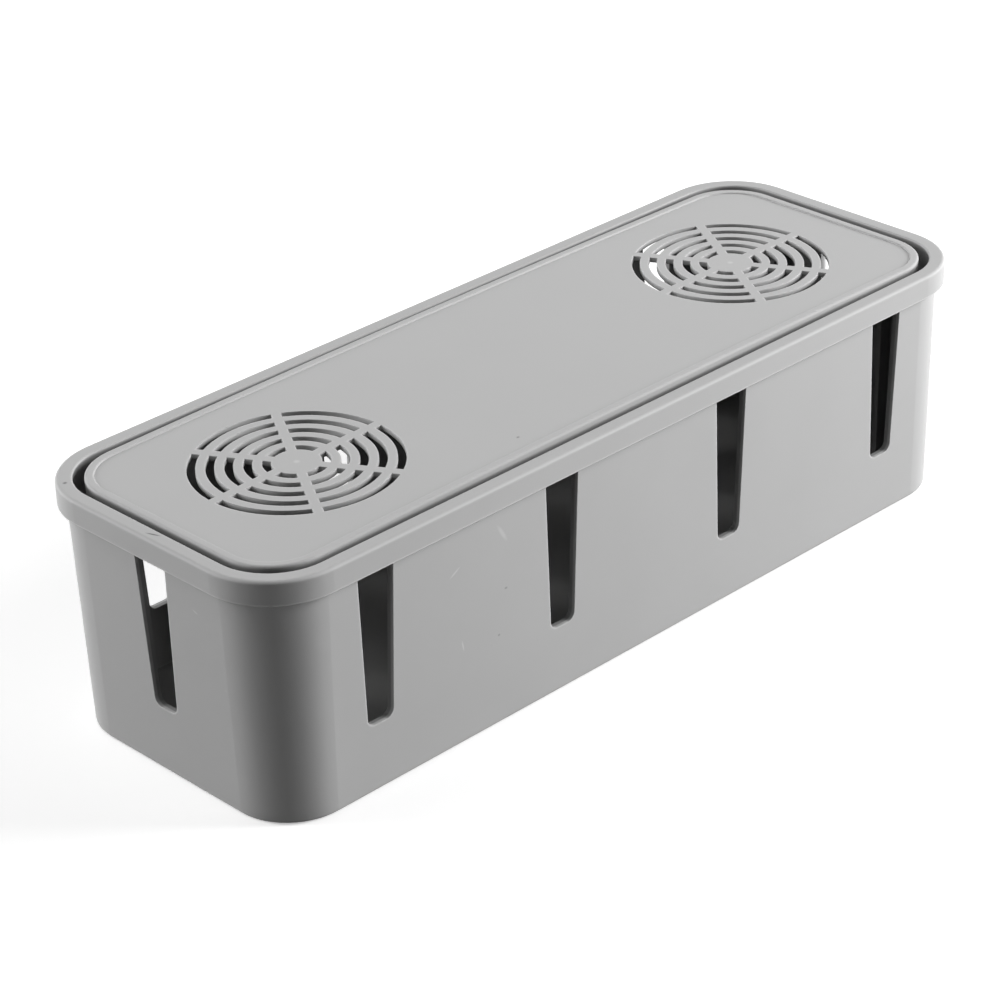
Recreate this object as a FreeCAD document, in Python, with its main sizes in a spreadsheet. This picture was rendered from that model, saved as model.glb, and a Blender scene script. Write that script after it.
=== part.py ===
# Cable management box: a moulded open box with a turned-over rim and cable slots,
# and a vented lid that sits inside the rim and lifts off.
# Millimetres. Origin at the middle of the underside, +X along the length, +Z up.
import FreeCAD, Part
import math
import os
import Sketcher

os.makedirs("parts", exist_ok=True)
doc = FreeCAD.newDocument("cable_management_box")

# Driving sizes: name, value, what it measures
SIZES = [
    ("box_length", 320, "overall length, over the rim"),
    ("box_width", 114, "overall width, over the rim"),
    ("box_height", 86, "underside to the top of the rim"),
    ("rim_corner", 25.5, "plan radius of the rim's corners"),
    ("rim_drop", 8.3, "height of the turned-down edge of the rim"),
    ("rim_plate", 2.2, "thickness of the flat top of the rim"),
    ("rim_lip", 1.5, "thickness of the turned-down edge"),
    ("rim_overhang", 2.7, "rim's outer face to the wall's outer face at the top"),
    ("rim_round", 1.2, "rounding of the rim's top outer edge"),
    ("edge_ease", 0.3, "width taken off the small moulded edges"),
    ("wall", 2.6, "thickness of the side walls"),
    ("wall_draft", 1.4, "degrees that the walls lean in towards the base"),
    ("floor_plate", 2.4, "thickness of the floor"),
    ("base_round", 1.5, "rounding where the walls meet the underside"),
    ("foot_band", 12, "width of the band that the box stands on"),
    ("foot_recess", 0.6, "depth of the hollow inside that band"),
    ("slot_count", 4, "cable slots in each long wall"),
    ("slot_margin", 43.75, "end of the box to the middle of the first slot"),
    ("slot_width", 14.2, "width of a cable slot at its top"),
    ("slot_lean", 2.1, "degrees that a slot's sides lean in"),
    ("slot_corner", 3, "radius of a slot's lower corners"),
    ("slot_sill", 23.8, "height of a slot's lower edge"),
    ("slot_land", 0.7, "wall left between a slot and the rim's lower edge"),
    ("rib_thick", 1.6, "thickness of the ribs that carry the lid"),
    ("rib_reach", 0.6, "how far a rib reaches past the inside of the lid's skirt"),
    ("rib_guide", 4, "height of the shoulder that guides the lid's skirt"),
    ("rib_play", 0.4, "clearance between that shoulder and the skirt"),
    ("rib_inset", 6.5, "end ribs, from where the corner's curve begins"),
    ("lid_gap", 3, "gap between the rim and the lid"),
    ("lid_ease", 1.6, "extra radius of the lid's corners over the rim's"),
    ("lid_depth", 9, "seat of the lid to its top at the ends"),
    ("lid_crown", 1.3, "rise of the lid's top at its middle"),
    ("lid_panel", 1.8, "thickness of the lid's panel and skirt"),
    ("bead_width", 3, "width of the raised border of the lid"),
    ("bead_rise", 0.5, "height of that border over the panel"),
    ("lid_round", 0.8, "rounding of the lid's top outer edge"),
    ("vent_inset", 53.3, "end of the lid to the middle of a vent"),
    ("vent_margin", 16.5, "side of the lid to the outermost vent ring"),
    ("vent_hub", 7.5, "least radius of the plain disc inside a vent"),
    ("ring_pitch", 5.75, "spacing of the vent rings"),
    ("ring_gap", 2.7, "width of each ring's opening"),
    ("spoke_count", 6, "spokes that cross the rings"),
    ("spoke_width", 3.2, "width of a spoke"),
]


def write_sheet():
    sheet = doc.addObject("Spreadsheet::Sheet", "dims")
    for row, (name, value, note) in enumerate(SIZES, start=1):
        sheet.set(f"A{row}", name)
        sheet.set(f"B{row}", str(value))
        sheet.set(f"C{row}", note)
        sheet.setAlias(f"B{row}", name)
    doc.recompute()
    return sheet


sheet = write_sheet()

# How near two lengths have to be to count as the same
CLOSE = 1e-6

# Sizes that several features share, all worked out from the driving sizes
SHELL_INSET = "dims.rim_overhang"
CAVITY_INSET = f"({SHELL_INSET} + dims.wall)"
LID_INSET = f"({CAVITY_INSET} + dims.lid_gap)"
SKIRT_INSET = f"({LID_INSET} + dims.lid_panel)"
BORDER_INSET = f"({LID_INSET} + dims.bead_width)"
LEAN = "tan(dims.wall_draft * 1deg)"
FOOT_INSET = f"({SHELL_INSET} + dims.box_height * {LEAN} + dims.foot_band)"
RIM_BOTTOM = "(dims.box_height - dims.rim_drop)"
SEAT = "(dims.box_height - dims.lid_depth)"
SLOT_TOP = f"({RIM_BOTTOM} - dims.slot_land)"
SLOT_SPAN = "(dims.box_length - 2 * dims.slot_margin)"
END_RIB = "(dims.box_width / 2 - dims.rim_corner - dims.rib_inset)"
LID_SPAN = f"(dims.box_length - 2 * {LID_INSET})"
CROWN_RADIUS = f"(({LID_SPAN} ^ 2 / 4 + dims.lid_crown ^ 2) / (2 * dims.lid_crown))"
VENT_CENTRE = f"(dims.box_length / 2 - {LID_INSET} - dims.vent_inset)"
RING_RADIUS = f"(dims.box_width / 2 - {LID_INSET} - dims.vent_margin)"
RING_ROOM = f"({RING_RADIUS} - dims.ring_gap / 2 - dims.vent_hub)"


def number(expression):
    return float(sheet.evalExpression(expression))


def new_body(name):
    body = doc.addObject("PartDesign::Body", name)
    body.Label = name
    return body


def origin_feature(body, role):
    return next(item for item in body.Origin.OriginFeatures if item.Role == role)


def new_sketch(body, name, plane, along="0", level="0"):
    """A sketch on one of the body's planes, moved along the sketch's own x and off the plane."""
    sketch = body.newObject("Sketcher::SketchObject", name)
    sketch.AttachmentSupport = [(origin_feature(body, plane), "")]
    sketch.MapMode = "FlatFace"
    sketch.setExpression("AttachmentOffset.Base.x", along)
    sketch.setExpression("AttachmentOffset.Base.z", level)
    return sketch


def bind(sketch, expression, kind, *where):
    """A driving constraint whose value follows the sheet."""
    value = number(expression)
    if kind == "Angle":
        value = math.radians(value)
    index = sketch.addConstraint(Sketcher.Constraint(kind, *where, value))
    sketch.setExpression(f"Constraints[{index}]", expression)


def relate(sketch, kind, *where):
    sketch.addConstraint(Sketcher.Constraint(kind, *where))


def add_line(sketch, start, end, construction=False):
    first = FreeCAD.Vector(*start, 0)
    last = FreeCAD.Vector(*end, 0)
    return sketch.addGeometry(Part.LineSegment(first, last), construction)


def add_arc(sketch, centre, radius, start, end):
    circle = Part.Circle(FreeCAD.Vector(*centre, 0), FreeCAD.Vector(0, 0, 1), radius)
    arc = Part.ArcOfCircle(circle, math.radians(start), math.radians(end))
    return sketch.addGeometry(arc, False)


def join_tangent(sketch, chain):
    """Joins each curve's end to the next one's start, in a closed chain, without a kink."""
    for curve, following in zip(chain, chain[1:] + chain[:1]):
        relate(sketch, "Tangent", curve, 2, following, 1)


def polygon(sketch, corners):
    """A closed outline with straight sides, each corner placed by two expressions."""
    places = [(number(across), number(up)) for across, up in corners]
    lines = [add_line(sketch, a, b) for a, b in zip(places, places[1:] + places[:1])]
    for line, following in zip(lines, lines[1:] + lines[:1]):
        relate(sketch, "Coincident", line, 2, following, 1)
    for line, (across, up) in zip(lines, corners):
        bind(sketch, across, "DistanceX", -1, 1, line, 1)
        bind(sketch, up, "DistanceY", -1, 1, line, 1)


def add_outline(sketch, inset, ease="0"):
    """The box's rounded plan outline, drawn in by an inset, corners rounder by the ease."""
    length = f"dims.box_length - 2 * {inset}"
    width = f"dims.box_width - 2 * {inset}"
    corner = f"dims.rim_corner - {inset} + {ease}"
    radius = number(corner)
    x = number(length) / 2
    y = number(width) / 2
    cx = x - radius
    cy = y - radius
    chain = [
        add_line(sketch, (-cx, -y), (cx, -y)),
        add_arc(sketch, (cx, -cy), radius, 270, 360),
        add_line(sketch, (x, -cy), (x, cy)),
        add_arc(sketch, (cx, cy), radius, 0, 90),
        add_line(sketch, (cx, y), (-cx, y)),
        add_arc(sketch, (-cx, cy), radius, 90, 180),
        add_line(sketch, (-x, cy), (-x, -cy)),
        add_arc(sketch, (-cx, -cy), radius, 180, 270),
    ]
    join_tangent(sketch, chain)
    front, front_right, right, back_right, back, back_left, left, front_left = chain
    relate(sketch, "Horizontal", front)
    relate(sketch, "Vertical", right)
    relate(sketch, "Horizontal", back)
    relate(sketch, "Vertical", left)
    for arc in (back_right, back_left, front_left):
        relate(sketch, "Equal", front_right, arc)
    relate(sketch, "Symmetric", front_right, 3, back_left, 3, -1, 1)
    bind(sketch, corner, "Radius", front_right)
    bind(sketch, length, "DistanceX", left, 1, right, 1)
    bind(sketch, width, "DistanceY", front, 1, back, 2)


def pad(body, sketch, length, upwards=True, draft="0", symmetric=False):
    feature = body.newObject("PartDesign::Pad", sketch.Name + "_pad")
    feature.Profile = sketch
    feature.setExpression("Length", length)
    feature.Reversed = not upwards
    feature.setExpression("TaperAngle", draft)
    if symmetric:
        feature.SideType = "Symmetric"
    doc.recompute()
    return feature


def pocket(body, sketch, depth, upwards=False, draft="0", symmetric=False):
    feature = body.newObject("PartDesign::Pocket", sketch.Name + "_pocket")
    feature.Profile = sketch
    feature.setExpression("Length", depth)
    feature.Reversed = upwards
    feature.setExpression("TaperAngle", draft)
    if symmetric:
        feature.SideType = "Symmetric"
    doc.recompute()
    return feature


def pocket_through(body, sketch, symmetric=False):
    feature = body.newObject("PartDesign::Pocket", sketch.Name + "_pocket")
    feature.Profile = sketch
    feature.Type = "ThroughAll"
    if symmetric:
        feature.SideType = "Symmetric"
    doc.recompute()
    return feature


def repeat_along(body, feature, axis, length, count):
    pattern = body.newObject("PartDesign::LinearPattern", feature.Name + "_row")
    pattern.Originals = [feature]
    pattern.Direction = (origin_feature(body, axis), [""])
    pattern.setExpression("Length", length)
    pattern.setExpression("Occurrences", count)
    body.Tip = pattern
    doc.recompute()


def flat_face(body, height):
    """The largest level face of the body so far at a height above its own origin."""
    place = number(height)
    level = [
        face
        for face in body.Tip.Shape.Faces
        if face.BoundBox.ZLength < CLOSE and abs(face.BoundBox.ZMin - place) < CLOSE
    ]
    return max(level, key=lambda face: face.Area)


def outer_edges(face):
    return face.OuterWire.Edges


def inner_edges(face):
    outer = face.OuterWire.Edges
    return [edge for edge in face.Edges if not any(edge.isSame(other) for other in outer)]


def edge_names(shape, edges):
    numbered = enumerate(shape.Edges, start=1)
    return [f"Edge{n}" for n, edge in numbered if any(edge.isSame(e) for e in edges)]


def fillet(body, name, edges, radius):
    base = body.Tip
    feature = body.newObject("PartDesign::Fillet", name)
    feature.Base = (base, edge_names(base.Shape, edges))
    feature.setExpression("Radius", radius)
    doc.recompute()


def ease_edges(body, name, edges):
    """Takes the sharpness off small moulded edges."""
    base = body.Tip
    feature = body.newObject("PartDesign::Chamfer", name)
    feature.Base = (base, edge_names(base.Shape, edges))
    feature.setExpression("Size", "dims.edge_ease")
    doc.recompute()


def add_rim(body):
    """The rim: a flat top plate whose outer edge is turned down, hollow underneath."""
    top = new_sketch(body, "rim", "XY_Plane", level="dims.box_height")
    add_outline(top, "0")
    pad(body, top, "dims.rim_drop", upwards=False)
    under = new_sketch(body, "rim_hollow", "XY_Plane", level=RIM_BOTTOM)
    add_outline(under, "dims.rim_lip")
    pocket(body, under, "dims.rim_drop - dims.rim_plate", upwards=True)


def add_shell(body):
    """The walls lean in towards the base, outside and inside alike, as the mould needs."""
    outside = new_sketch(body, "shell", "XY_Plane", level="dims.box_height")
    add_outline(outside, SHELL_INSET)
    pad(body, outside, "dims.box_height", upwards=False, draft="-dims.wall_draft")
    inside = new_sketch(body, "cavity", "XY_Plane", level="dims.box_height")
    add_outline(inside, CAVITY_INSET)
    pocket(body, inside, "dims.box_height - dims.floor_plate", draft="-dims.wall_draft")
    foot = new_sketch(body, "foot", "XY_Plane")
    add_outline(foot, FOOT_INSET)
    pocket(body, foot, "dims.foot_recess", upwards=True)


def finish_box_edges(body):
    top = flat_face(body, "dims.box_height")
    fillet(body, "rim_top_fillet", outer_edges(top), "dims.rim_round")
    underside = flat_face(body, "0")
    fillet(body, "base_fillet", outer_edges(underside), "dims.base_round")
    top = flat_face(body, "dims.box_height")
    ease_edges(body, "rim_inner_edge", inner_edges(top))
    lower = flat_face(body, RIM_BOTTOM)
    ease_edges(body, "rim_lower_edge", lower.Edges)


def draw_slot(sketch):
    """A cable slot: straight top, sides leaning in towards a round-cornered lower edge."""
    top = number(SLOT_TOP)
    sill = number("dims.slot_sill")
    radius = number("dims.slot_corner")
    half_top = number("dims.slot_width") / 2
    lean = number("dims.slot_lean")
    half_low = half_top - (top - sill) * math.tan(math.radians(lean))
    ceiling = add_line(sketch, (half_top, top), (-half_top, top))
    left = add_line(sketch, (-half_top, top), (-half_low, sill + radius))
    left_arc = add_arc(sketch, (-half_low + radius, sill + radius), radius, 180, 270)
    lower = add_line(sketch, (-half_low + radius, sill), (half_low - radius, sill))
    right_arc = add_arc(sketch, (half_low - radius, sill + radius), radius, 270, 360)
    right = add_line(sketch, (half_low, sill + radius), (half_top, top))
    relate(sketch, "Coincident", ceiling, 2, left, 1)
    relate(sketch, "Coincident", right, 2, ceiling, 1)
    relate(sketch, "Tangent", left, 2, left_arc, 1)
    relate(sketch, "Tangent", left_arc, 2, lower, 1)
    relate(sketch, "Tangent", lower, 2, right_arc, 1)
    relate(sketch, "Tangent", right_arc, 2, right, 1)
    relate(sketch, "Symmetric", ceiling, 1, ceiling, 2, -2)
    relate(sketch, "Symmetric", lower, 1, lower, 2, -2)
    relate(sketch, "Equal", left_arc, right_arc)
    bind(sketch, "dims.slot_corner", "Radius", right_arc)
    bind(sketch, "dims.slot_width", "DistanceX", ceiling, 2, ceiling, 1)
    bind(sketch, SLOT_TOP, "DistanceY", -1, 1, ceiling, 1)
    bind(sketch, "dims.slot_sill", "DistanceY", -1, 1, lower, 1)
    bind(sketch, "90 - dims.slot_lean", "Angle", right)


def add_slots(body):
    """Cable slots through both long walls in a row, and one through each end wall."""
    first = new_sketch(body, "slot", "XZ_Plane", along=f"-{SLOT_SPAN} / 2")
    draw_slot(first)
    cut = pocket_through(body, first, symmetric=True)
    repeat_along(body, cut, "X_Axis", SLOT_SPAN, "dims.slot_count")
    end = new_sketch(body, "end_slot", "YZ_Plane")
    draw_slot(end)
    pocket_through(body, end, symmetric=True)


def draw_rib_pair(sketch, size):
    """Side view of two facing ribs: a seat for the lid's skirt and a shoulder outside it."""
    low = "dims.floor_plate / 2"
    guide_top = f"({SEAT} + dims.rib_guide)"
    buried = f"({size} / 2 - {CAVITY_INSET} + dims.wall / 2)"
    low_outer = f"{buried} - (dims.box_height - {low}) * {LEAN}"
    high_outer = f"{buried} - (dims.box_height - {guide_top}) * {LEAN}"
    seat_inner = f"{size} / 2 - {SKIRT_INSET} - dims.rib_reach"
    low_inner = f"{seat_inner} - ({SEAT} - {low}) * {LEAN}"
    shoulder = f"{size} / 2 - {LID_INSET} + dims.rib_play"
    profile = [
        (low_outer, low),
        (high_outer, guide_top),
        (shoulder, guide_top),
        (shoulder, SEAT),
        (seat_inner, SEAT),
        (low_inner, low),
    ]
    polygon(sketch, profile)
    polygon(sketch, [(f"-({across})", up) for across, up in profile])


def add_ribs(body):
    """Ribs up the inside of the walls, half way between the slots and near each corner."""
    half_row = f"({SLOT_SPAN} / 2 - {SLOT_SPAN} / (dims.slot_count - 1) / 2)"
    side = new_sketch(body, "side_rib", "YZ_Plane", level=f"-{half_row}")
    draw_rib_pair(side, "dims.box_width")
    ribs = pad(body, side, "dims.rib_thick", symmetric=True)
    repeat_along(body, ribs, "X_Axis", f"2 * {half_row}", "dims.slot_count - 1")
    end = new_sketch(body, "end_rib", "XZ_Plane", level=END_RIB)
    draw_rib_pair(end, "dims.box_length")
    ribs = pad(body, end, "dims.rib_thick", symmetric=True)
    repeat_along(body, ribs, "Y_Axis", f"2 * {END_RIB}", "2")


def make_box():
    body = new_body("box")
    add_rim(body)
    add_shell(body)
    finish_box_edges(body)
    add_slots(body)
    add_ribs(body)
    return body


def draw_crown(sketch, inset, drop, far):
    """Side view bounded by the lid's arch, lowered by a drop, and by a level line at far."""
    span = f"dims.box_length - 2 * {inset}"
    half = number(span) / 2
    radius = number(CROWN_RADIUS)
    centre_up = f"dims.lid_depth + dims.lid_crown - {drop} - {CROWN_RADIUS}"
    centre = number(centre_up)
    angle = math.degrees(math.asin(half / radius))
    spring = centre + math.sqrt(radius * radius - half * half)
    level = number(far)
    arch = add_arc(sketch, (0, centre), radius, 90 - angle, 90 + angle)
    left = add_line(sketch, (-half, spring), (-half, level))
    across = add_line(sketch, (-half, level), (half, level))
    right = add_line(sketch, (half, level), (half, spring))
    relate(sketch, "Coincident", arch, 2, left, 1)
    relate(sketch, "Coincident", left, 2, across, 1)
    relate(sketch, "Coincident", across, 2, right, 1)
    relate(sketch, "Coincident", right, 2, arch, 1)
    relate(sketch, "Vertical", left)
    relate(sketch, "Vertical", right)
    relate(sketch, "Symmetric", across, 1, across, 2, -2)
    relate(sketch, "PointOnObject", arch, 3, -2)
    bind(sketch, span, "DistanceX", across, 1, across, 2)
    bind(sketch, far, "DistanceY", -1, 1, across, 1)
    bind(sketch, centre_up, "DistanceY", -1, 1, arch, 3)
    bind(sketch, CROWN_RADIUS, "Radius", arch)


def round_corners(body, name, inset):
    """Rounds the four upright edges that stand at an inset from the box's overall size."""
    half_length = number(f"dims.box_length / 2 - {inset}")
    half_width = number(f"dims.box_width / 2 - {inset}")
    corners = []
    for edge in body.Tip.Shape.Edges:
        box = edge.BoundBox
        upright = box.XLength < CLOSE and box.YLength < CLOSE
        at_end = abs(abs(box.XMin) - half_length) < CLOSE
        at_side = abs(abs(box.YMin) - half_width) < CLOSE
        if upright and at_end and at_side:
            corners.append(edge)
    fillet(body, name, corners, f"dims.rim_corner - {inset} + dims.lid_ease")


def add_panel(body):
    """The lid's arched top with a raised border, and a skirt turned down all round."""
    x = f"(dims.box_length / 2 - {LID_INSET})"
    y = f"(dims.box_width / 2 - {LID_INSET})"
    above = "dims.lid_depth + 4 * dims.lid_crown"
    plan = new_sketch(body, "panel", "XY_Plane")
    polygon(plan, [(f"-{x}", f"-{y}"), (x, f"-{y}"), (x, y), (f"-{x}", y)])
    pad(body, plan, "dims.lid_depth + dims.lid_crown")
    crown = new_sketch(body, "crown", "XZ_Plane")
    draw_crown(crown, LID_INSET, "0", above)
    pocket_through(body, crown, symmetric=True)
    recess = new_sketch(body, "recess", "XZ_Plane")
    draw_crown(recess, BORDER_INSET, "dims.bead_rise", above)
    pocket(body, recess, f"dims.box_width - 2 * {BORDER_INSET}", symmetric=True)
    hollow = new_sketch(body, "hollow", "XZ_Plane")
    draw_crown(hollow, SKIRT_INSET, "(dims.bead_rise + dims.lid_panel)", "0")
    pocket(body, hollow, f"dims.box_width - 2 * {SKIRT_INSET}", symmetric=True)
    round_corners(body, "hollow_fillet", SKIRT_INSET)
    round_corners(body, "recess_fillet", BORDER_INSET)
    round_corners(body, "panel_fillet", LID_INSET)


def border_face(body):
    """The top of the raised border, the upper of the two faces that run round the lid."""
    rings = [face for face in body.Tip.Shape.Faces if len(face.Wires) == 2]
    return max(rings, key=lambda face: face.CenterOfMass.z)


def finish_lid_edges(body):
    fillet(body, "lid_top_fillet", outer_edges(border_face(body)), "dims.lid_round")
    ease_edges(body, "border_edge", inner_edges(border_face(body)))
    ease_edges(body, "skirt_edge", flat_face(body, "0").Edges)


def draw_vent_sector(sketch):
    """The ring openings between two spokes, symmetric about the sketch's upright axis."""
    half_step = "180 / dims.spoke_count"
    apex = f"dims.spoke_width / 2 / sin({half_step} * 1deg)"
    slope = f"90 - {half_step}"
    tilt = math.radians(number(slope))
    reach = number(RING_RADIUS)
    tip = (reach * math.cos(tilt), number(apex) + reach * math.sin(tilt))
    right_edge = add_line(sketch, (0, number(apex)), tip, construction=True)
    left_edge = add_line(sketch, (0, number(apex)), (-tip[0], tip[1]), construction=True)
    relate(sketch, "PointOnObject", right_edge, 1, -2)
    relate(sketch, "Coincident", left_edge, 1, right_edge, 1)
    relate(sketch, "Symmetric", left_edge, 2, right_edge, 2, -2)
    bind(sketch, apex, "DistanceY", -1, 1, right_edge, 1)
    bind(sketch, slope, "Angle", right_edge)
    bind(sketch, RING_RADIUS, "Distance", right_edge)
    ring_count = 1 + math.floor(number(f"{RING_ROOM} / dims.ring_pitch"))
    for ring in range(ring_count):
        middle = f"{RING_RADIUS} - {ring} * dims.ring_pitch"
        draw_ring_opening(sketch, middle, right_edge, left_edge)


def draw_ring_opening(sketch, middle, right_edge, left_edge):
    """One curved opening, its two arcs about the vent's centre and its ends along the spokes."""
    arcs = []
    corners = []
    for radius in (f"{middle} - dims.ring_gap / 2", f"{middle} + dims.ring_gap / 2"):
        size = number(radius)
        half_spoke = number("dims.spoke_width") / 2
        start = 90 - number("180 / dims.spoke_count") + math.degrees(math.asin(half_spoke / size))
        arc = add_arc(sketch, (0, 0), size, start, 180 - start)
        relate(sketch, "Coincident", arc, 3, -1, 1)
        bind(sketch, radius, "Radius", arc)
        relate(sketch, "PointOnObject", arc, 1, right_edge)
        relate(sketch, "PointOnObject", arc, 2, left_edge)
        arcs.append(arc)
        away = math.radians(start)
        corners.append((size * math.cos(away), size * math.sin(away)))
    inner, outer = arcs
    (inner_x, inner_y), (outer_x, outer_y) = corners
    right = add_line(sketch, (inner_x, inner_y), (outer_x, outer_y))
    left = add_line(sketch, (-inner_x, inner_y), (-outer_x, outer_y))
    relate(sketch, "Coincident", right, 1, inner, 1)
    relate(sketch, "Coincident", right, 2, outer, 1)
    relate(sketch, "Coincident", left, 1, inner, 2)
    relate(sketch, "Coincident", left, 2, outer, 2)


def add_vents(body):
    """Two round vents of ring openings crossed by spokes, one near each end of the lid."""
    top = "dims.lid_depth + dims.lid_crown"
    sector = new_sketch(body, "vent", "XY_Plane", along=VENT_CENTRE, level=top)
    draw_vent_sector(sector)
    cut = pocket_through(body, sector)
    vents = body.newObject("PartDesign::MultiTransform", "vents")
    vents.Originals = [cut]
    turn = body.newObject("PartDesign::PolarPattern", "vent_turn")
    turn.Axis = (sector, ["N_Axis"])
    turn.Angle = 360
    turn.setExpression("Occurrences", "dims.spoke_count")
    mirror = body.newObject("PartDesign::Mirrored", "vent_mirror")
    mirror.MirrorPlane = (origin_feature(body, "YZ_Plane"), [""])
    vents.Transformations = [turn, mirror]
    body.Tip = vents
    doc.recompute()


def make_lid():
    body = new_body("lid")
    body.setExpression("Placement.Base.z", SEAT)
    add_panel(body)
    finish_lid_edges(body)
    add_vents(body)
    return body


def check_document():
    for item in doc.Objects:
        if "Invalid" in item.State or "Error" in item.State:
            raise RuntimeError(f"{item.Name} failed: {item.State}")


def write_parts(bodies):
    for body in bodies:
        shape = body.Shape
        if shape.isNull() or not shape.isValid() or len(shape.Solids) != 1:
            raise RuntimeError(f"{body.Label} is not one valid solid")
        shape.exportStep(f"parts/{body.Label}.step")
        print(body.Label, round(shape.Volume), shape.BoundBox)


parts = [make_box(), make_lid()]
doc.recompute()
check_document()
write_parts(parts)
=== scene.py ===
import math
import bpy
from mathutils import Matrix, Vector


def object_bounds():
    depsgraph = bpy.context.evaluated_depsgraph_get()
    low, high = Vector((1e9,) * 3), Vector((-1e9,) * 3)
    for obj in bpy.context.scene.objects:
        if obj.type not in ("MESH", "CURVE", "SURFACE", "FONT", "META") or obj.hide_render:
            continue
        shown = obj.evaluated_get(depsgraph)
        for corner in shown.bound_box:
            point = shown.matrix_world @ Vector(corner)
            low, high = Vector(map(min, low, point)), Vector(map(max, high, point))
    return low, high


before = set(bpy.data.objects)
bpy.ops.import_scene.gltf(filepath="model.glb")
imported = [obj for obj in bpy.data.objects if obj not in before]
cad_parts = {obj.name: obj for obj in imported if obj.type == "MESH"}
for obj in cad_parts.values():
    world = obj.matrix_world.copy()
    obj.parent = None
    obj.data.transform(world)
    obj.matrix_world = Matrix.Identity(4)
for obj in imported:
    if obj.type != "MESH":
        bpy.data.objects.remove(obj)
cad_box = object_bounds()


# The box: an open tray moulded in one shot of grey polypropylene, with a turned-over rim. The
# spark-eroded mould leaves it satin, and packing and handling leave a few rubs and specks.
MM = 0.001
PP_IOR = 1.49


def srgb(hex_colour):
    """An sRGB hex colour as linear red, green, blue and alpha."""
    channels = [int(hex_colour[i : i + 2], 16) / 255 for i in (0, 2, 4)]
    linear = [c / 12.92 if c <= 0.04045 else ((c + 0.055) / 1.055) ** 2.4 for c in channels]
    return (*linear, 1.0)


def add_node(tree, kind, inputs, **settings):
    """Adds one node with its settings. An input takes a plain value, or the output that feeds it."""
    node = tree.nodes.new(kind)
    for name, value in settings.items():
        setattr(node, name, value)
    for name, value in inputs.items():
        if isinstance(value, bpy.types.NodeSocket):
            tree.links.new(value, node.inputs[name])
        else:
            node.inputs[name].default_value = value
    return node


# A Mix node numbers its sockets for each type of data: these are its two colours and its result
COLOUR_A, COLOUR_B, COLOUR_OUT = 6, 7, 2


def moulded_polypropylene(name, light, dark):
    """Satin grey polypropylene, with faint flow clouds, fine mould grain and rounded edges.

    Returns the material, its node tree, the object's own coordinates and the clouded tint.
    """
    material = bpy.data.materials.new(name)
    material.use_nodes = True
    tree = material.node_tree
    shader = tree.nodes["Principled BSDF"]
    shader.inputs["IOR"].default_value = PP_IOR
    place = add_node(tree, "ShaderNodeTexCoord", {}).outputs["Object"]

    # Clouds where the melt flowed and cooled unevenly: they change the tint and the gloss a little
    cloud_width = 35.7 * MM
    inputs = {"Vector": place, "Scale": 1 / cloud_width, "Detail": 3.0}
    cloud = add_node(tree, "ShaderNodeTexNoise", inputs).outputs["Fac"]
    inputs = {"Factor": cloud, COLOUR_A: srgb(dark), COLOUR_B: srgb(light)}
    tint = add_node(tree, "ShaderNodeMix", inputs, data_type="RGBA").outputs[COLOUR_OUT]
    smoothest, roughest = 0.38, 0.5
    inputs = {"Value": cloud, "To Min": smoothest, "To Max": roughest}
    roughness = add_node(tree, "ShaderNodeMapRange", inputs)
    tree.links.new(roughness.outputs["Result"], shader.inputs["Roughness"])

    # Real mould grain is under 0.1 mm. It is drawn at 0.5 mm, the finest that shows in a picture.
    grain_width = 0.5 * MM
    grain_depth = 0.1 * MM
    edge_radius = 0.45 * MM
    inputs = {"Vector": place, "Scale": 1 / grain_width, "Detail": 1.0}
    grain = add_node(tree, "ShaderNodeTexNoise", inputs).outputs["Fac"]
    rounded = add_node(tree, "ShaderNodeBevel", {"Radius": edge_radius}).outputs["Normal"]
    inputs = {"Height": grain, "Normal": rounded, "Strength": 0.08, "Distance": grain_depth}
    bump = add_node(tree, "ShaderNodeBump", inputs)
    tree.links.new(bump.outputs["Normal"], shader.inputs["Normal"])
    return material, tree, place, tint


def highlights_and_wear(tree, place):
    """Painted highlights along the edges, and the small specks that use and packing leave, as tones with
    masks.
    """
    # Sharp edges get a painted highlight about a millimetre wide. A normal averaged over that width
    # turns away from the face's own near an edge, and how far it turns draws the painted highlight.
    highlight_width = 1.2 * MM
    full_highlight, no_highlight = 0.8, 0.99
    strength = 0.6
    averaged = add_node(tree, "ShaderNodeBevel", {"Radius": highlight_width}).outputs["Normal"]
    facing = add_node(tree, "ShaderNodeNewGeometry", {}).outputs["Normal"]
    inputs = {0: averaged, 1: facing}
    flush = add_node(tree, "ShaderNodeVectorMath", inputs, operation="DOT_PRODUCT").outputs["Value"]
    inputs = {"Value": flush, "From Min": full_highlight, "From Max": no_highlight,
              "To Min": strength, "To Max": 0.0}
    layers = [("DCDCDC", add_node(tree, "ShaderNodeMapRange", inputs).outputs["Result"])]

    # Pale specks and dark specks. Space is cut into cells with room for one speck each, and only a
    # share of the cells keeps its speck. Spacing and radius are in millimetres.
    for tone, spacing, share, radius in (("D2D2D2", 16.67, 0.2, 0.35), ("868686", 21.28, 0.12, 0.3)):
        inputs = {"Vector": place, "Scale": 1 / (spacing * MM)}
        cell = add_node(tree, "ShaderNodeTexVoronoi", inputs).outputs
        size = radius / spacing
        inputs = {"Value": cell["Distance"], "From Min": size / 2, "From Max": size,
                  "To Min": 1.0, "To Max": 0.0}
        dot = add_node(tree, "ShaderNodeMapRange", inputs).outputs["Result"]
        inputs = {0: cell["Color"], 1: 1 - share}
        kept = add_node(tree, "ShaderNodeMath", inputs, operation="GREATER_THAN").outputs[0]
        speck = add_node(tree, "ShaderNodeMath", {0: dot, 1: kept}, operation="MULTIPLY").outputs[0]
        layers.append((tone, speck))
    return layers


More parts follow.
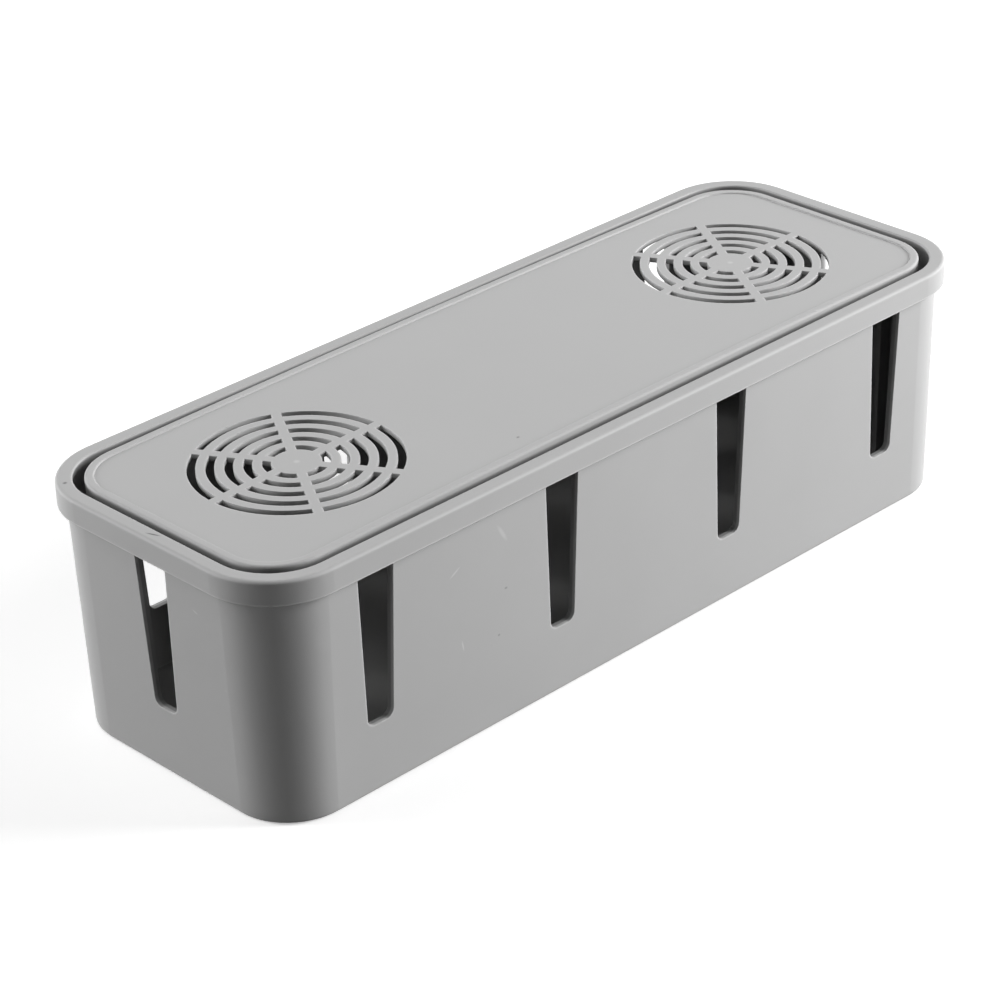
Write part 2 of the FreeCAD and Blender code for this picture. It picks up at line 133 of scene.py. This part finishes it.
def single_marks(tree, place, marks):
    """Marks put on one by one, as tones with masks.

    Each mark has a tone, a middle, a turn in degrees and half sizes. It fades out from inner to
    outer, as shares of its half sizes. The middle and the half sizes are in millimetres.
    """
    inner, outer = 0.4, 1.0
    strength = 0.8
    layers = []
    for tone, middle, turn, half_sizes in marks:
        inputs = {
            "Vector": place,
            "Location": [v * MM for v in middle],
            "Rotation": [math.radians(v) for v in turn],
            "Scale": [v * MM for v in half_sizes],
        }
        spot = add_node(tree, "ShaderNodeMapping", inputs, vector_type="TEXTURE").outputs[0]
        away = add_node(tree, "ShaderNodeVectorMath", {0: spot}, operation="LENGTH").outputs["Value"]
        inputs = {"Value": away, "From Min": inner, "From Max": outer, "To Min": strength, "To Max": 0.0}
        layers.append((tone, add_node(tree, "ShaderNodeMapRange", inputs).outputs["Result"]))
    return layers


def paint(tree, tint, layers):
    """Lays the tones over the tint, first to last, each where its mask lets it show."""
    colour = tint
    for tone, mask in layers:
        inputs = {"Factor": mask, COLOUR_A: colour, COLOUR_B: srgb(tone)}
        colour = add_node(tree, "ShaderNodeMix", inputs, data_type="RGBA").outputs[COLOUR_OUT]
    tree.links.new(colour, tree.nodes["Principled BSDF"].inputs["Base Color"])


made = moulded_polypropylene("satin_moulded_polypropylene", light="B6B6B6", dark="AEAEAE")
box_skin, tree, place, tint = made
layers = highlights_and_wear(tree, place)

# The two edges of the turned-down rim stand furthest out, and a painted highlight runs all along them
RIM_TOP = 86.0
RIM_FOOT = 78.0
HIGHLIGHT_REACH = 0.5
HIGHLIGHT_CORE = 0.15
HIGHLIGHT_STRENGTH = 0.8
height = add_node(tree, "ShaderNodeSeparateXYZ", {"Vector": place}).outputs["Z"]
for edge_height, tone in ((RIM_FOOT, "D4D4D4"), (RIM_TOP - HIGHLIGHT_REACH, "C4C4C4")):
    inputs = {0: height, 1: edge_height * MM}
    above_edge = add_node(tree, "ShaderNodeMath", inputs, operation="SUBTRACT").outputs[0]
    away = add_node(tree, "ShaderNodeMath", {0: above_edge}, operation="ABSOLUTE").outputs[0]
    inputs = {"Value": away, "From Min": HIGHLIGHT_CORE * MM, "From Max": HIGHLIGHT_REACH * MM,
              "To Min": HIGHLIGHT_STRENGTH, "To Max": 0.0}
    layers.append((tone, add_node(tree, "ShaderNodeMapRange", inputs).outputs["Result"]))

# The plastic is most likely one grey all through. The inside is painted darker here, to stand in
# for the deep shade that shows through the slots. The darker grey begins half way through the
# wall, whose plan is a rectangle with round corners, and ends at the floor's middle and at the
# round of the rim's inner edge.
SHADED_GREY = "868686"
RIM_REACH = 2.7
WALL_CORNER = 22.8
HALF_WALL = 1.3
WALL_LEAN = math.tan(math.radians(1.4))
FLOOR_MIDDLE = 1.2
ROUND_FOOT, ROUND_TOP = RIM_TOP - 1.2, RIM_TOP - 0.4
WALL_FADE, FLOOR_FADE = 0.3, 0.2
wall_middle = WALL_CORNER - HALF_WALL - RIM_TOP * WALL_LEAN
core = [half - (RIM_REACH + WALL_CORNER) * MM for half in list(cad_box[1])[:2]]
plan = add_node(tree, "ShaderNodeVectorMath", {0: place}, operation="ABSOLUTE").outputs[0]
plan = add_node(tree, "ShaderNodeVectorMath", {0: plan, 1: (*core, 0)}, operation="SUBTRACT").outputs[0]
plan = add_node(tree, "ShaderNodeVectorMath", {0: plan, 1: (0, 0, 0)}, operation="MAXIMUM").outputs[0]
plan = add_node(tree, "ShaderNodeVectorMath", {0: plan, 1: (1, 1, 0)}, operation="MULTIPLY").outputs[0]
reach = add_node(tree, "ShaderNodeVectorMath", {0: plan}, operation="LENGTH").outputs["Value"]
lean = add_node(tree, "ShaderNodeMath", {0: height, 1: WALL_LEAN}, operation="MULTIPLY").outputs[0]
reach = add_node(tree, "ShaderNodeMath", {0: reach, 1: lean}, operation="SUBTRACT").outputs[0]
limits = (
    (reach, wall_middle, wall_middle + WALL_FADE, 1.0, 0.0),
    (height, FLOOR_MIDDLE - FLOOR_FADE, FLOOR_MIDDLE, 0.0, 1.0),
    (height, ROUND_FOOT, ROUND_TOP, 1.0, 0.0),
)
inside = 1.0
for value, start, end, before, after in limits:
    inputs = {"Value": value, "From Min": start * MM, "From Max": end * MM,
              "To Min": before, "To Max": after}
    within = add_node(tree, "ShaderNodeMapRange", inputs).outputs["Result"]
    inside = add_node(tree, "ShaderNodeMath", {0: inside, 1: within}, operation="MULTIPLY").outputs[0]
layers.append((SHADED_GREY, inside))

# A dark scratch and a speck on the rim, then pale rubs and two dark specks on the front wall, and
# last a rub and a scuff on the left end
BOX_MARKS = [
    ("2E2E2E", (-156.9, -3.0, 86.0), (0, 0, 110), (3.0, 0.42, 1.5)),
    ("5E5E5E", (-154.5, 42.1, 86.0), (0, 0, 0), (0.9, 0.8, 1.0)),
    ("C4C4C4", (-64.5, -53.9, 67.5), (0, 59, 0), (4.5, 1.0, 0.9)),
    ("C8C8C8", (-84.5, -53.7, 62.0), (0, -30, 0), (3.0, 1.0, 0.45)),
    ("C8C8C8", (-81.9, -53.1, 35.1), (0, 80, 0), (2.4, 1.0, 0.4)),
    ("8A8A8A", (-63.3, -53.4, 47.7), (0, 10, 0), (0.8, 1.0, 0.5)),
    ("8A8A8A", (-66.6, -53.0, 32.3), (0, 0, 0), (0.6, 1.0, 0.5)),
    ("C8C8C8", (-156.8, -19.7, 66.3), (20, 0, 0), (1.0, 1.6, 0.4)),
    ("B8B8B8", (-156.3, -30.5, 43.5), (0, 0, 0), (1.5, 0.8, 0.6)),
]
layers += single_marks(tree, place, BOX_MARKS)
paint(tree, tint, layers)
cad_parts["box"].material_slots[0].material = box_skin


# The lid: a second moulding in the same plastic, laid loose inside the rim, with a raised border
# and two round vents. Each vent's plain disc keeps the pale dot where the plastic was injected.
made = moulded_polypropylene("satin_polypropylene_lid", light="B8B8B8", dark="B2B2B2")
lid_skin, tree, place, tint = made
layers = highlights_and_wear(tree, place)
VENT_MIDDLE = 98.4
LID_TOP = 86.8
LID_MARKS = [
    ("C8C8C8", (-VENT_MIDDLE, 0.0, LID_TOP), (0, 0, 0), (1.3, 1.3, 3.0)),
    ("C8C8C8", (VENT_MIDDLE, 0.0, LID_TOP), (0, 0, 0), (1.3, 1.3, 3.0)),
    ("7E7E7E", (-42.6, -39.3, LID_TOP), (0, 0, 20), (0.9, 0.6, 1.5)),
]
layers += single_marks(tree, place, LID_MARKS)

# The skirt and the underside get painted shade, in the same darker grey as the box's inside
UNDER_BORDER = 85.3
FADE = 0.9
height = add_node(tree, "ShaderNodeSeparateXYZ", {"Vector": place}).outputs["Z"]
inputs = {"Value": height, "From Min": (UNDER_BORDER - FADE) * MM, "From Max": UNDER_BORDER * MM,
          "To Min": 1.0, "To Max": 0.0}
layers.append((SHADED_GREY, add_node(tree, "ShaderNodeMapRange", inputs).outputs["Result"]))
paint(tree, tint, layers)
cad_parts["lid"].material_slots[0].material = lid_skin


# The table: a plain white surface. The camera and gloss see it lit to white with the box's soft
# shadow on it. It sends less diffuse light back up than white would, which keeps the shade under
# the rim and behind the slots deep.
def seen_directly(tree):
    """1 for rays from the camera and through gloss or glass, 0 for diffuse light."""
    ray = add_node(tree, "ShaderNodeLightPath", {}).outputs
    inputs = {0: ray["Is Camera Ray"], 1: ray["Is Glossy Ray"]}
    seen = add_node(tree, "ShaderNodeMath", inputs, operation="MAXIMUM").outputs[0]
    inputs = {0: seen, 1: ray["Is Transmission Ray"]}
    return add_node(tree, "ShaderNodeMath", inputs, operation="MAXIMUM").outputs[0]


bpy.ops.object.select_all(action="DESELECT")
bpy.ops.mesh.primitive_plane_add(size=6, location=(0, 0, 0))
floor = bpy.context.object
floor.name = "floor"
material = bpy.data.materials.new("white_table")
material.use_nodes = True
tree = material.node_tree
tree.nodes.remove(tree.nodes["Principled BSDF"])
seen = seen_directly(tree)
inputs = {"Factor": seen, COLOUR_A: srgb("606060"), COLOUR_B: srgb("E6E6E6")}
white = add_node(tree, "ShaderNodeMix", inputs, data_type="RGBA").outputs[COLOUR_OUT]
matt = add_node(tree, "ShaderNodeBsdfDiffuse", {"Color": white}).outputs[0]

# Away from the box the lamps fall off, and the table's own glow takes over to keep it white
NEAR, FAR = 0.3, 0.8
NEAR_GLOW, FAR_GLOW = 0.45, 1.0
place = add_node(tree, "ShaderNodeTexCoord", {}).outputs["Object"]
away = add_node(tree, "ShaderNodeVectorMath", {0: place}, operation="LENGTH").outputs["Value"]
inputs = {"Value": away, "From Min": NEAR, "From Max": FAR, "To Min": NEAR_GLOW, "To Max": FAR_GLOW}
strength = add_node(tree, "ShaderNodeMapRange", inputs).outputs["Result"]
strength = add_node(tree, "ShaderNodeMath", {0: strength, 1: seen}, operation="MULTIPLY").outputs[0]
glow = add_node(tree, "ShaderNodeEmission", {"Strength": strength}).outputs[0]
surface = add_node(tree, "ShaderNodeAddShader", {0: matt, 1: glow}).outputs[0]
tree.links.new(surface, tree.nodes["Material Output"].inputs["Surface"])
floor.data.materials.append(material)


# Soft studio light: a square panel low to each side, behind the near corner, so that the corner
# between them falls into shade, and a weaker one above. Gloss shows the white surroundings instead.
def add_panel_light(name, place, side, watts):
    """A square lamp that faces the middle of the box, hidden from the camera and from gloss."""
    lamp = bpy.data.lights.new(name, "AREA")
    lamp.shape = "SQUARE"
    lamp.size = side
    lamp.energy = watts
    light = bpy.data.objects.new(name, lamp)
    turn = (Vector(place) - BOX_MIDDLE).to_track_quat("Z", "Y").to_matrix().to_4x4()
    light.matrix_world = Matrix.Translation(place) @ turn
    light.visible_camera = False
    light.visible_glossy = False
    bpy.context.scene.collection.objects.link(light)


BOX_MIDDLE = Vector((0, 0, 0.05))
add_panel_light("left_panel", place=(-0.83, 0.98, 0.46), side=0.6, watts=14.2)
add_panel_light("right_panel", place=(1.037, -0.81, 0.529), side=0.76, watts=32)
add_panel_light("top_panel", place=(-0.5, 0.5, 1.5), side=1.0, watts=6.8)

# The studio round it is white to look at, and adds only a trace of diffuse light
TRACE = 0.03
world = bpy.data.worlds.new("studio")
bpy.context.scene.world = world
world.use_nodes = True
tree = world.node_tree
inputs = {"Value": seen_directly(tree), "To Min": TRACE, "To Max": 1.0}
strength = add_node(tree, "ShaderNodeMapRange", inputs).outputs["Result"]
tree.links.new(strength, tree.nodes["Background"].inputs["Strength"])
tree.nodes["Background"].inputs["Color"].default_value = srgb("FFFFFF")


# The camera stands at the near left corner of the box and looks down on it along a diagonal.
# Its place and its angles come from the photographed edges of the rim and the lid.
LENS_MM = 115.32
SENSOR_MM = 36.0
AZIMUTH, ELEVATION, ROLL = (math.radians(angle) for angle in (-43.529, 28.287, -2.067))
CAMERA_PLACE = (-0.649897, -0.670041, 0.535919)
camera_data = bpy.data.cameras.new("camera")
camera_data.lens = LENS_MM
camera_data.sensor_width = SENSOR_MM
camera = bpy.data.objects.new("camera", camera_data)
turn = Matrix.Rotation(AZIMUTH, 4, "Z")
tip = Matrix.Rotation(math.pi / 2 - ELEVATION, 4, "X")
roll = Matrix.Rotation(ROLL, 4, "Z")
camera.matrix_world = Matrix.Translation(CAMERA_PLACE) @ turn @ tip @ roll
bpy.context.scene.collection.objects.link(camera)
bpy.context.scene.camera = camera
bpy.context.scene.view_settings.view_transform = "Standard"
